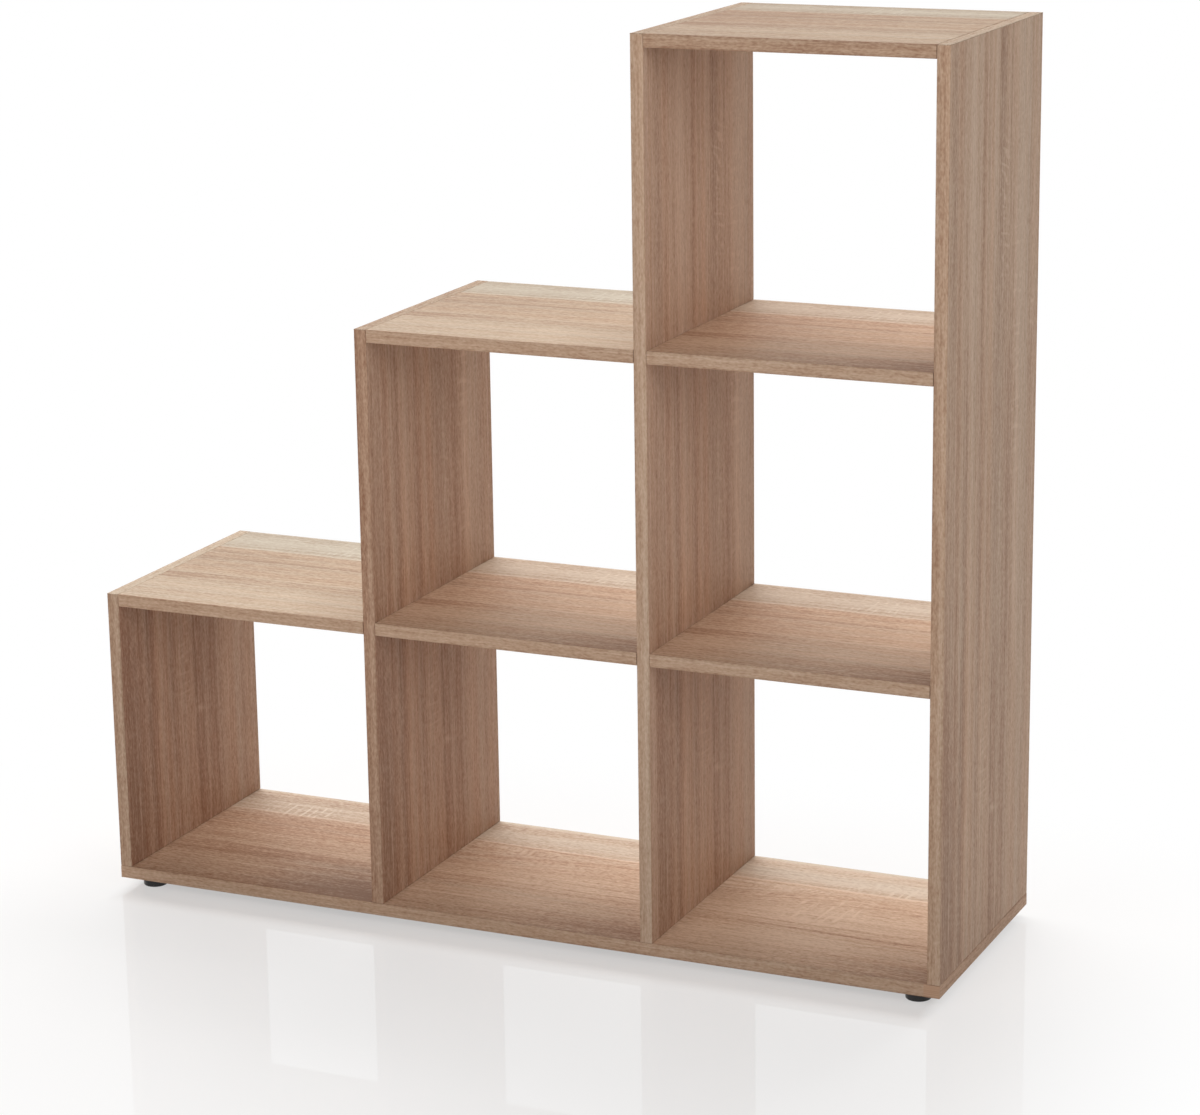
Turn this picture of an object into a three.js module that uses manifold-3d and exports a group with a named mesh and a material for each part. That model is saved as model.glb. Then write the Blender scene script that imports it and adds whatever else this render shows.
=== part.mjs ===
// A staircase bookshelf: three columns of open compartments, one, two and three high, on one
// base board. Melamine-faced boards are located by dowels and drawn together by cam fittings,
// and the uprights are screwed on through the base board, which stands on four round feet.
// Millimetres, +Z up, origin on the floor under the middle of the base board, front towards -Y.
import * as THREE from 'three';
import { mergeVertices } from 'three/addons/utils/BufferGeometryUtils.js';
import Module from 'manifold-3d';

const wasm = await Module();
wasm.setup();

// Carcass
const boardThickness = 15;
const cellWidth = 330;
const cellHeight = 330;
const carcassDepth = 320;
const edgeRadius = 0.8; // rounding of the banded front and back edges
const columns = [
  { name: 'low_step', boards: ['top'] },
  { name: 'middle_step', boards: ['shelf', 'top'] },
  { name: 'high_step', boards: ['lower_shelf', 'upper_shelf', 'top'] },
];
const uprightNames = ['left_upright', 'inner_left_upright', 'inner_right_upright', 'right_upright'];

// Clearances and cuts
const seatGap = 0.3; // all round between a fitting and its hole
const holeEndGap = 1; // past the end of a dowel, screw or bolt in its blind hole
const overrun = 2; // how far a cut runs past the face that it opens

// Cam: a die-cast disc that turns in the underside of a board
const camDiameter = 15;
const camSetback = 24; // from the end of the board to the middle of the cam
const camFromEdge = 56; // from the front or back edge to the middle of the cam
const camRecess = 0.4; // below the face of the board
const camCover = 3; // board left over the cam's bore
const camWall = 2; // wall that the bolt's head pulls on
const camEccentricity = 0.6; // how far the hollow is off centre
const camTurn = 150; // degrees from the locked end of the slot to the head's way in
const driveSpan = 7;
const driveWidth = 1.8;
const driveDepth = 2.2;

// Cam bolt: turned steel, with a ball head in the cam at one end or at both
const boltHead = 7;
const boltNeck = 4.4;
const boltShaft = 6;
const boltCollar = 7.4;
const boltCollarLength = 1.5;
const boltThread = 6.2;
const boltThreadLength = 11;
const boltChamfer = 0.8;

// Dowel, glued into the middle of a board's end
const dowelDiameter = 8;
const dowelChamfer = 1;
const dowelReach = 10; // into an upright from one side
const dowelGrip = 14; // into the next board, where one dowel holds two boards

// Screw from below the base board into the end of an upright
const screwFromEdge = 56;
const screwNeck = 7;
const screwHead = 10;
const screwHeadHeight = 2.5;
const screwHeadRecess = 0.5;
const screwSocket = 4; // across the flats
const screwSocketDepth = 2.2;

// Foot: a moulded glide with a barbed spigot pressed into the base board
const footDiameter = 29.5;
const footHeight = 12;
const footRounding = 1.6;
const footFromSide = 33;
const footFromFront = 25;
const spigotDiameter = 8;
const spigotCore = 6.4;
const spigotLength = 10;
const spigotBarbs = 3;

// Sides of a circle in the mesh
const boreSides = 8;
const camSides = 12;
const hollowSides = 8;
const slotSides = 6;
const boltSides = 6;
const footSides = 24;
const cornerSteps = 2;

// Worked out
const pitchX = cellWidth + boardThickness;
const pitchZ = cellHeight + boardThickness;
const totalWidth = columns.length * pitchX + boardThickness;
const baseTop = footHeight + boardThickness;
const camFace = camRecess - boardThickness / 2; // heights from the middle of the board
const camEnd = boardThickness / 2 - camCover;
const headSeat = camDiameter / 2 - camWall - boltHead / 2 - seatGap;
const headReach = camSetback - headSeat; // from the upright's face to the middle of the head
const neckReach = camSetback - camDiameter / 2 - seatGap; // from there to the start of the neck
const sides = [-1, 1];

const melamine = new THREE.MeshStandardMaterial({ color: 0xc9ab93, roughness: 0.55, metalness: 0 });
const zinc = new THREE.MeshStandardMaterial({ color: 0xa9abad, roughness: 0.4, metalness: 1 });
const steel = new THREE.MeshStandardMaterial({ color: 0xbfc1c4, roughness: 0.3, metalness: 1 });
const plastic = new THREE.MeshStandardMaterial({ color: 0x141414, roughness: 0.25, metalness: 0 });

// Turns a closed geometry into a solid that can be cut and joined.
function solid(geometry) {
  geometry.deleteAttribute('normal');
  geometry.deleteAttribute('uv');
  const merged = mergeVertices(geometry);
  return new wasm.Manifold(
    new wasm.Mesh({
      numProp: 3,
      vertProperties: new Float32Array(merged.attributes.position.array),
      triVerts: new Uint32Array(merged.index.array),
    }),
  );
}

// Turns a solid into a named mesh.
function piece(name, body, material) {
  const mesh = body.getMesh();
  const geometry = new THREE.BufferGeometry();
  geometry.setAttribute('position', new THREE.BufferAttribute(mesh.vertProperties, 3));
  geometry.setIndex(new THREE.BufferAttribute(mesh.triVerts, 1));
  geometry.computeVertexNormals();
  const result = new THREE.Mesh(geometry, material);
  result.name = name;
  return result;
}

// A round bar along Z, from one height to another, with its middle at x, y.
function post(diameter, from, to, count, x, y) {
  const body = new THREE.CylinderGeometry(diameter / 2, diameter / 2, to - from, count);
  return solid(body.rotateX(Math.PI / 2).translate(x, y, (from + to) / 2));
}

// A round bar along X, from one place to another, with its middle at y, z.
function bar(diameter, from, to, count, y, z) {
  const body = new THREE.CylinderGeometry(diameter / 2, diameter / 2, to - from, count);
  return solid(body.rotateZ(Math.PI / 2).translate((from + to) / 2, y, z));
}

// The size across the corners of a bore whose flats stay clear of what it takes.
function boreFor(diameter, count) {
  return (diameter + 2 * seatGap) / Math.cos(Math.PI / count);
}

// A turned shape about Z. The profile is a list of [radius, height], from the bottom up.
function turned(profile, count) {
  const points = profile.map(([radius, height]) => new THREE.Vector2(radius, height));
  return solid(new THREE.LatheGeometry(points, count).rotateX(Math.PI / 2));
}

// A board's section, thickness by depth, with its front and back edges rounded.
function boardSection() {
  const x = boardThickness / 2;
  const y = carcassDepth / 2;
  const r = edgeRadius;
  const section = new THREE.Shape();
  section.moveTo(-x + r, -y);
  section.absarc(x - r, -y + r, r, -Math.PI / 2, 0);
  section.absarc(x - r, y - r, r, 0, Math.PI / 2);
  section.absarc(-x + r, y - r, r, Math.PI / 2, Math.PI);
  section.absarc(-x + r, -y + r, r, Math.PI, 1.5 * Math.PI);
  return section;
}

function extrudedBoard(length) {
  return new THREE.ExtrudeGeometry(boardSection(), {
    depth: length,
    bevelEnabled: false,
    curveSegments: cornerSteps,
  });
}

// A lying board, centred on the origin, with its length along X.
function lyingBoard(length) {
  return solid(extrudedBoard(length).rotateY(Math.PI / 2).translate(-length / 2, 0, 0));
}

// A standing board, centred on X and Y, with its foot at zero.
function standingBoard(height) {
  return solid(extrudedBoard(height));
}

// The places across the depth that lie a given distance from the front and the back edge.
function acrossDepth(fromEdge) {
  return sides.map((side) => side * (carcassDepth / 2 - fromEdge));
}

// How many compartments an upright's taller neighbour has.
function uprightCells(index) {
  const left = index > 0 ? columns[index - 1].boards.length : 0;
  const right = index < columns.length ? columns[index].boards.length : 0;
  return Math.max(left, right);
}

// True where a column has a board at this level.
function hasBoard(column, level) {
  return column >= 0 && column < columns.length && level <= columns[column].boards.length;
}

function uprightCentre(index) {
  return index * pitchX + (boardThickness - totalWidth) / 2;
}

// The height of a level's boards at mid-thickness, above the top of the base board.
function levelHeight(level) {
  return level * pitchZ - boardThickness / 2;
}

// A dowel along X, from inside the board whose end is at zero to its tip.
function dowel(reach) {
  const r = dowelDiameter / 2;
  const profile = [[0, -dowelReach], [r, -dowelReach], [r, reach - dowelChamfer]];
  profile.push([r - dowelChamfer, reach], [0, reach]);
  return turned(profile, boreSides).rotate([0, 90, 0]);
}

// A board between two uprights. Each end has two cam bores from below, a bolt bore into each,
// and a dowel, or the bore for the dowel of the board on the other side of the upright.
function betweenBoard(column, level) {
  const half = cellWidth / 2;
  let board = lyingBoard(cellWidth);
  for (const side of sides) {
    const cam = side * (half - camSetback);
    for (const y of acrossDepth(camFromEdge)) {
      const below = -boardThickness / 2 - overrun;
      const camBore = boreFor(camDiameter, camSides);
      board = board.subtract(post(camBore, below, camEnd, camSides, cam, y));
      const mouth = side * (half + overrun);
      const from = Math.min(cam, mouth);
      const to = Math.max(cam, mouth);
      board = board.subtract(bar(boreFor(boltCollar, boreSides), from, to, boreSides, y, 0));
    }
    const shared = hasBoard(column + side, level);
    if (shared && side < 0) {
      const from = -half - overrun;
      const to = -half + dowelGrip + holeEndGap;
      board = board.subtract(bar(boreFor(dowelDiameter, boreSides), from, to, boreSides, 0, 0));
    } else {
      const reach = shared ? boardThickness + dowelGrip : dowelReach;
      const turn = side > 0 ? 0 : 180;
      board = board.add(dowel(reach).rotate([0, 0, turn]).translate([side * half, 0, 0]));
    }
  }
  return board;
}

// The holes in an upright at one level: right through where a board meets each face, and blind
// from the one side where only one does.
function uprightHoles(upright, index, level) {
  const left = hasBoard(index - 1, level);
  const right = hasBoard(index, level);
  const face = boardThickness / 2;
  const z = levelHeight(level);
  const bolt = left && right ? boltCollar : boltThread;
  const holes = [{ size: dowelDiameter, length: dowelReach, y: 0 }];
  for (const y of acrossDepth(camFromEdge)) {
    holes.push({ size: bolt, length: boltThreadLength, y });
  }
  let result = upright;
  for (const { size, length, y } of holes) {
    const depth = length + holeEndGap;
    const from = left ? -face - overrun : face - depth;
    const to = right ? face + overrun : -face + depth;
    result = result.subtract(bar(boreFor(size, boreSides), from, to, boreSides, y, z));
  }
  return result;
}

// The part of a screw that shows below an upright: its neck, and a countersunk head with a
// six-sided socket. The thread is inside the upright.
function screwBelow(y) {
  const head = -boardThickness + screwHeadRecess;
  const profile = [[0, head], [screwHead / 2, head], [screwNeck / 2, head + screwHeadHeight]];
  profile.push([screwNeck / 2, overrun], [0, overrun]);
  const across = screwSocket / Math.cos(Math.PI / 6);
  const socket = post(across, head - overrun, head + screwSocketDepth, 6, 0, 0);
  return turned(profile, boreSides).subtract(socket).translate([0, y, 0]);
}

function uprightSolid(index) {
  const cells = uprightCells(index);
  let upright = standingBoard(cells * pitchZ);
  for (let level = 1; level <= cells; level += 1) {
    upright = uprightHoles(upright, index, level);
  }
  for (const y of acrossDepth(screwFromEdge)) {
    upright = upright.add(screwBelow(y));
  }
  return upright;
}

// The base board, with a countersunk hole for each screw and a blind hole for each foot's spigot.
// Its middle is at zero height.
function baseSolid() {
  const face = boardThickness / 2;
  let base = lyingBoard(totalWidth);
  const neck = screwNeck / 2 + seatGap;
  const head = screwHead / 2 + seatGap;
  const rim = screwHeadRecess - face;
  const profile = [[0, -face - overrun], [head, -face - overrun], [head, rim]];
  profile.push([neck, rim + screwHeadHeight], [neck, face + overrun], [0, face + overrun]);
  for (let index = 0; index < uprightNames.length; index += 1) {
    for (const y of acrossDepth(screwFromEdge)) {
      base = base.subtract(turned(profile, boreSides).translate([uprightCentre(index), y, 0]));
    }
  }
  for (const side of sides) {
    for (const y of acrossDepth(footFromFront)) {
      const x = side * (totalWidth / 2 - footFromSide);
      const end = -face + spigotLength + holeEndGap;
      const spigotBore = boreFor(spigotDiameter, boreSides);
      base = base.subtract(post(spigotBore, -face - overrun, end, boreSides, x, y));
    }
  }
  return base;
}

// A cam, with its middle on the bolt's line and its locked side towards +X. The hollow holds the
// bolt's head. A slot as wide as the neck runs round the wall from the lock to the head's way in,
// and because the hollow is off centre the wall grows thicker towards the lock.
function camSolid() {
  const radius = camDiameter / 2;
  const past = radius + overrun;
  const headRoom = boltHead + 2 * seatGap;
  const neckRoom = boltNeck + 2 * seatGap;
  const hollow = 2 * (radius - camWall + camEccentricity);
  let cam = post(camDiameter, camFace, camEnd, camSides, 0, 0);
  cam = cam.subtract(post(hollow, -headRoom / 2, headRoom / 2, hollowSides, -camEccentricity, 0));
  const wayIn = bar(boreFor(boltHead, slotSides), 0, past, slotSides, 0, 0);
  cam = cam.subtract(wayIn.rotate([0, 0, camTurn]));
  const sweep = new THREE.Shape();
  sweep.moveTo(0, -neckRoom / 2);
  sweep.lineTo(past, -neckRoom / 2);
  sweep.absarc(0, 0, past, 0, THREE.MathUtils.degToRad(camTurn));
  const slot = new THREE.ExtrudeGeometry(sweep, {
    depth: neckRoom,
    bevelEnabled: false,
    curveSegments: slotSides,
  });
  cam = cam.subtract(solid(slot.translate(0, 0, -neckRoom / 2)));
  return cam.subtract(driveRecess());
}

// The cross that a screwdriver turns the cam by, sunk into its face.
function driveRecess() {
  const arm = driveSpan / 2;
  const w = driveWidth / 2;
  const cross = new THREE.Shape([
    new THREE.Vector2(-w, -arm), new THREE.Vector2(w, -arm), new THREE.Vector2(w, -w),
    new THREE.Vector2(arm, -w), new THREE.Vector2(arm, w), new THREE.Vector2(w, w),
    new THREE.Vector2(w, arm), new THREE.Vector2(-w, arm), new THREE.Vector2(-w, w),
    new THREE.Vector2(-arm, w), new THREE.Vector2(-arm, -w), new THREE.Vector2(-w, -w),
  ]);
  const recess = new THREE.ExtrudeGeometry(cross, {
    depth: driveDepth + overrun,
    bevelEnabled: false,
  });
  return solid(recess.translate(0, 0, camFace - overrun));
}

// The profile of a bolt outside the upright, from the face of the upright to the top of the head.
function boltProfile(face) {
  const r = boltHead / 2;
  const neck = boltNeck / 2;
  const head = face + headReach;
  const rim = Math.sqrt(r * r - neck * neck);
  const crown = Math.sqrt(3) / 2;
  return [
    [boltCollar / 2, face + boltCollarLength],
    [boltShaft / 2, face + boltCollarLength],
    [boltShaft / 2, face + neckReach - boltChamfer],
    [neck, face + neckReach],
    [neck, head - rim],
    [r, head],
    [r / 2, head + r * crown],
    [0, head + r * crown],
  ];
}

// A bolt with a thread in an upright's blind hole. It stands along +Z from the upright's face.
function singleBolt() {
  const thread = boltThread / 2;
  const profile = [[0, -boltThreadLength], [thread - boltChamfer, -boltThreadLength]];
  profile.push([thread, boltChamfer - boltThreadLength], [thread, 0], [boltCollar / 2, 0]);
  return turned(profile.concat(boltProfile(0)), boltSides);
}

// A bolt with a head at each end, through an inner upright. Its middle is at zero.
function doubleBolt() {
  const upper = boltProfile(boardThickness / 2);
  const lower = upper.map(([radius, height]) => [radius, -height]).reverse();
  return turned(lower.concat(upper), boltSides);
}

// A foot with its barbed spigot. The floor is at zero.
function footSolid() {
  const r = footDiameter / 2;
  const slope = footRounding * (1 - Math.SQRT1_2);
  const body = [[0, 0], [r - footRounding, 0], [r - slope, slope], [r, footRounding]];
  body.push([r, footHeight], [0, footHeight]);
  const core = spigotCore / 2;
  const barb = spigotLength / spigotBarbs;
  const spigot = [[0, footHeight - overrun], [core, footHeight - overrun], [core, footHeight]];
  for (let index = 0; index < spigotBarbs; index += 1) {
    const start = footHeight + index * barb;
    spigot.push([spigotDiameter / 2, start + barb / 3], [core, start + barb]);
  }
  spigot.push([0, footHeight + spigotLength]);
  return turned(body, footSides).add(turned(spigot, boreSides));
}

const bookshelf = new THREE.Group();

function place(mesh, x, y, z) {
  mesh.position.set(x, y, z);
  bookshelf.add(mesh);
  return mesh;
}

function addBase() {
  place(piece('base_board', baseSolid(), melamine), 0, 0, footHeight + boardThickness / 2);
  for (const side of sides) {
    for (const y of acrossDepth(footFromFront)) {
      const name = `foot_${y < 0 ? 'front' : 'back'}_${side < 0 ? 'left' : 'right'}`;
      place(piece(name, footSolid(), plastic), side * (totalWidth / 2 - footFromSide), y, 0);
    }
  }
}

function addUprights() {
  uprightNames.forEach((name, index) => {
    place(piece(name, uprightSolid(index), melamine), uprightCentre(index), 0, baseTop);
  });
}

// The board of one column at one level, with the four cams in its underside.
function addBoard(column, level) {
  const name = `${columns[column].name}_${columns[column].boards[level - 1]}`;
  const x = uprightCentre(column) + pitchX / 2;
  const z = baseTop + levelHeight(level);
  place(piece(name, betweenBoard(column, level), melamine), x, 0, z);
  for (const side of sides) {
    for (const y of acrossDepth(camFromEdge)) {
      const corner = `${side < 0 ? 'left' : 'right'}_${y < 0 ? 'front' : 'back'}`;
      const cam = piece(`${name}_cam_${corner}`, camSolid(), zinc);
      place(cam, x + side * (cellWidth / 2 - camSetback), y, z);
      cam.rotation.z = side > 0 ? 0 : Math.PI;
    }
  }
}

// The bolts through or into one upright at one level.
function addBolts(index, level) {
  const left = hasBoard(index - 1, level);
  const right = hasBoard(index, level);
  const z = baseTop + levelHeight(level);
  for (const y of acrossDepth(camFromEdge)) {
    const name = `${uprightNames[index]}_bolt_${level}_${y < 0 ? 'front' : 'back'}`;
    const x = uprightCentre(index);
    if (left && right) {
      place(piece(name, doubleBolt(), steel), x, y, z).rotation.y = Math.PI / 2;
    } else {
      const side = right ? 1 : -1;
      const bolt = place(piece(name, singleBolt(), steel), x + side * boardThickness / 2, y, z);
      bolt.rotation.y = side * Math.PI / 2;
    }
  }
}

addBase();
addUprights();
for (let column = 0; column < columns.length; column += 1) {
  for (let level = 1; level <= columns[column].boards.length; level += 1) {
    addBoard(column, level);
  }
}
for (let index = 0; index < uprightNames.length; index += 1) {
  for (let level = 1; level <= uprightCells(index); level += 1) {
    addBolts(index, level);
  }
}

export default bookshelf;
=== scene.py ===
import math

import bmesh
import bpy
import numpy as np
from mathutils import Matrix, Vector


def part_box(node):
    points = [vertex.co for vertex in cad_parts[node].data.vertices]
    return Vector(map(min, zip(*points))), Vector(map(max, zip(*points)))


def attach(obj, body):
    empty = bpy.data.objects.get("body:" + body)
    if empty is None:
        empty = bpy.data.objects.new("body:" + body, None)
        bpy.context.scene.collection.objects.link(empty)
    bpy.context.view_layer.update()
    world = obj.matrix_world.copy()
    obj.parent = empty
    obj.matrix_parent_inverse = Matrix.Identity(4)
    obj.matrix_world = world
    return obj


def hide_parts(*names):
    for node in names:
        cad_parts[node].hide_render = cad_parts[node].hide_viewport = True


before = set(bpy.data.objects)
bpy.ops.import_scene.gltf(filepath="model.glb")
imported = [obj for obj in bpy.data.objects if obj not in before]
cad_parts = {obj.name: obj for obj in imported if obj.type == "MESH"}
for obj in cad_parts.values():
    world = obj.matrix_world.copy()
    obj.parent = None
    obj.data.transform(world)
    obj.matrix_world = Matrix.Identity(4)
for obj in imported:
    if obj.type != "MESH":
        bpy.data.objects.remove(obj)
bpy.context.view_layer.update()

# Base board: chipboard 15 mm thick, faced with melamine paper printed like sawn oak, as long and
# deep as the whole shelf. Its bare edges are covered with plastic bands ironed on, so the board
# itself is cut back by their thickness. The feet and the base screws enter it from below.
MM = 0.001
BAND = 0.8 * MM
GLUE_LINE = 0.05 * MM
JOINT = 0.5 * MM  # the dark line left where the end of one board meets the face of another


def corner_points(mesh):
    """The places of a mesh's points, a row for each."""
    places = np.empty(3 * len(mesh.vertices))
    mesh.vertices.foreach_get("co", places)
    return places.reshape(-1, 3)


def merged_copy(node_name):
    """A mesh of a CAD node in which the doubled points are joined."""
    shape = bmesh.new()
    shape.from_mesh(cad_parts[node_name].data)
    bmesh.ops.remove_doubles(shape, verts=shape.verts, dist=0.001 * MM)
    mesh = bpy.data.meshes.new(node_name)
    shape.to_mesh(mesh)
    shape.free()
    return mesh


def show(name, mesh, material, stands_for=(), smooth=0):
    """Puts a mesh on the object as a piece, flat, or smooth across edges up to an angle."""
    mesh.name = name
    mesh.materials.clear()
    mesh.materials.append(material)
    mesh.validate()
    mesh.shade_flat()
    if smooth:
        mesh.shade_smooth()
        mesh.set_sharp_from_angle(angle=math.radians(smooth))
    made = bpy.data.objects.new(name, mesh)
    bpy.context.scene.collection.objects.link(made)
    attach(made, "root")
    if stands_for:
        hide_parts(*stands_for)
    return made


def draw_back(points, axis, place, step):
    """Moves the points that lie on a plane across an axis by a step along that axis."""
    points[np.abs(points[:, axis] - place) < 0.05 * MM, axis] += step


def faced_board(node_name, material, cut_low, cut_high, ends=()):
    """A CAD board cut back to make room for bands. The cuts are lengths off its low and high
    sides along X, Y and Z: every point beyond a cut moves straight back onto it. Its ends, if
    given as their places along X, draw back from the uprights by the joint."""
    mesh = merged_copy(node_name)
    points = corner_points(mesh)
    low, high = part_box(node_name)
    for axis in range(3):
        if cut_low[axis]:
            points[:, axis] = np.maximum(points[:, axis], low[axis] + cut_low[axis])
        if cut_high[axis]:
            points[:, axis] = np.minimum(points[:, axis], high[axis] - cut_high[axis])
    for end, step in zip(ends, (JOINT, -JOINT)):
        draw_back(points, 0, end, step)
    mesh.vertices.foreach_set("co", points.ravel())
    return show(f"{node_name}_faced", mesh, material, [node_name])


def display(red, green, blue):
    """A colour as a screen shows it, 0 to 255, as the linear colour that a shader takes, by the
    sRGB curve: a straight line near black, and a power of 2.4 above it."""
    share = np.array([red, green, blue]) / 255
    linear = np.where(share <= 0.04045, share / 12.92, ((share + 0.055) / 1.055) ** 2.4)
    return (*linear.tolist(), 1.0)


def node(tree, kind, sockets=None, **settings):
    """A shader node. A socket given for an input is linked to it, anything else is its value."""
    made = tree.nodes.new(kind)
    for name, value in settings.items():
        setattr(made, name, value)
    for name, value in (sockets or {}).items():
        if isinstance(value, bpy.types.NodeSocket):
            tree.links.new(value, made.inputs[name])
        else:
            made.inputs[name].default_value = value
    return made


def calc(tree, operation, *values):
    """The result of a Math node."""
    return node(tree, "ShaderNodeMath", dict(enumerate(values)), operation=operation).outputs[0]


def rise(tree, value, start, end, low=0.0, high=1.0):
    """A smooth step from low to high as a value goes from start to end."""
    sockets = {"Value": value, "From Min": start, "From Max": end, "To Min": low, "To Max": high}
    made = node(tree, "ShaderNodeMapRange", sockets, interpolation_type="SMOOTHSTEP")
    return made.outputs["Result"]


def patch(tree, along, across, u0, u1, v0, v1, soft_u, soft_v):
    """1 inside a rectangle of the board's face, fading to 0 over a soft edge."""
    sides = (
        rise(tree, along, u0, u0 + soft_u),
        rise(tree, along, u1 - soft_u, u1, 1, 0),
        rise(tree, across, v0, v0 + soft_v),
        rise(tree, across, v1 - soft_v, v1, 1, 0),
    )
    ends = calc(tree, "MULTIPLY", sides[0], sides[1])
    return calc(tree, "MULTIPLY", ends, calc(tree, "MULTIPLY", sides[2], sides[3]))


def grain(tree, along, across, length, width, detail=2.0, seed=0.0):
    """Noise from 0 to 1 in cells of a length along the grain and a width across it, in mm."""
    where = {"X": calc(tree, "DIVIDE", along, length), "Y": calc(tree, "DIVIDE", across, width)}
    at = node(tree, "ShaderNodeCombineXYZ", {**where, "Z": seed}).outputs[0]
    sockets = {"Vector": at, "Scale": 1.0, "Detail": detail, "Roughness": 0.55}
    return node(tree, "ShaderNodeTexNoise", sockets).outputs["Fac"]


def tones(tree, across, span, stops):
    """A tone read off a list of (distance across the board in mm, tone), smoothly joined. The
    first stop is at 0 and the last at the span. Tones run from -0.5 to 0.5 and sit in the ramp
    as greys from 0 to 1."""
    ramp = node(tree, "ShaderNodeValToRGB", {"Fac": calc(tree, "DIVIDE", across, span)})
    ramp.color_ramp.interpolation = "EASE"
    elements = ramp.color_ramp.elements
    for distance, _ in stops[1:-1]:
        elements.new(distance / span)
    for element, (_, tone) in zip(elements, stops):
        element.color = (tone + 0.5, tone + 0.5, tone + 0.5, 1)
    return calc(tree, "SUBTRACT", ramp.outputs["Color"], 0.5)


STREAK_FADE = 0.45  # share of a streak's length and width over which it fades at each side


def leaning_patch(tree, along, across, u0, u1, v0, v1, lean):
    """A soft patch that starts between v0 and v1 and slides by a lean for each mm along."""
    slide = calc(tree, "MULTIPLY", calc(tree, "SUBTRACT", along, u0), lean)
    leaned = calc(tree, "SUBTRACT", across, slide)
    soft = STREAK_FADE * (u1 - u0), STREAK_FADE * (v1 - v0)
    return patch(tree, along, leaned, u0, u1, v0, v1, *soft)


def total(tree, values):
    """The sum of several values."""
    result = values[0]
    for value in values[1:]:
        result = calc(tree, "ADD", result, value)
    return result


BEND_START, BEND_BACK, BEND_FRONT = 15, 20, 60  # mm over which a bend sets in at its sides


def bent(tree, along, across, u0, u1, v0, v1, drop):
    """The distance across with the lines from v0 to v1 pulled forward, by the whole drop in mm
    where along is u0 and by nothing again at u1."""
    ends = rise(tree, along, u0 - BEND_START, u0), rise(tree, along, u0, u1, drop, 0)
    rows = rise(tree, across, v0, v0 + BEND_BACK), rise(tree, across, v1 - BEND_FRONT, v1, 1, 0)
    pulled = calc(tree, "MULTIPLY", calc(tree, "MULTIPLY", *ends), calc(tree, "MULTIPLY", *rows))
    return calc(tree, "SUBTRACT", across, pulled)


FLECK_FADE = 0.25  # share of a field of flecks over which it fades at each side
FLECK_DRIFT = (26, 90)  # length and width of the noise that makes their spacing uneven
FLECK_GAPS = (8, 26)  # and of the noise that breaks them up


def flecked(tree, along, across, seed, u0, u1, v0, v1, spacing, slant, tone):
    """A field of silvery flecks: dashes that lie across the grain where the sine of the distance
    along is high, a spacing apart, turned by a slant and broken up."""
    uneven = grain(tree, along, across, *FLECK_DRIFT, 1.0, seed + 3)
    uneven = calc(tree, "MULTIPLY", uneven, 2.0 * spacing)
    slanted = calc(tree, "MULTIPLY", across, slant)
    turns = calc(tree, "DIVIDE", total(tree, [along, uneven, slanted]), spacing)
    phase = calc(tree, "MULTIPLY", turns, 2 * math.pi)
    dash = rise(tree, calc(tree, "SINE", phase), 0.1, 1.0, 0, tone)
    broken = rise(tree, grain(tree, along, across, *FLECK_GAPS, 1.0, seed + 4), 0.42, 0.6, 0.1, 1)
    soft = FLECK_FADE * (u1 - u0), FLECK_FADE * (v1 - v0)
    inside = patch(tree, along, across, u0, u1, v0, v1, *soft)
    return calc(tree, "MULTIPLY", calc(tree, "MULTIPLY", inside, dash), broken)


# A corner of painted shade darkens and cools a compartment floor towards its front right corner,
# where the upright beside it shades the floor.
PAINTED_SHADE_END = 10  # mm beyond u1 within which a dark corner ends, under an upright
PAINTED_SHADE_COOLING = 2.0  # warmth that a dark corner loses with each unit of tone


def painted_shade_share(tree, along, across, u0, u1, v0, v1):
    """The mask of a painted shade in a corner: 0 up to u0 and v0, and from there a smooth
    rise to 1 at the corner u1, v1.
    """
    near = calc(tree, "MULTIPLY", rise(tree, along, u0, u1), rise(tree, across, v0, v1))
    return calc(tree, "MULTIPLY", near, rise(tree, along, u1, u1 + PAINTED_SHADE_END, 1, 0))


WANDER = 0.03  # share of the print's width by which its rings wander from side to side
WANDER_CELL = (180, 60)  # length and width in mm of the cells of the noise that does it
# Length, width, detail and strength: broad growth zones, rings, fibres and the mottle of the saw.
GROWTH_LINES = (
    (1400, 15, 1.0, 0.42),
    (700, 6, 2.0, 0.5),
    (160, 2.4, 2.0, 0.6),
    (45, 3.0, 2.0, 0.56),
    (12, 4.0, 1.0, 0.46),
    (5, 1.8, 1.0, 0.8),
)
SHORT_LINES = 30  # mm: lines under this length are mottle
PORE_CELL = (16, 0.9)  # length and width in mm, as for the other cells
PORE_TONE = -0.1
GLOW_CELL = (1300, 24)  # the warmth drifts from side to side in broad bands
GLOW_STRENGTH = 2.2


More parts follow.
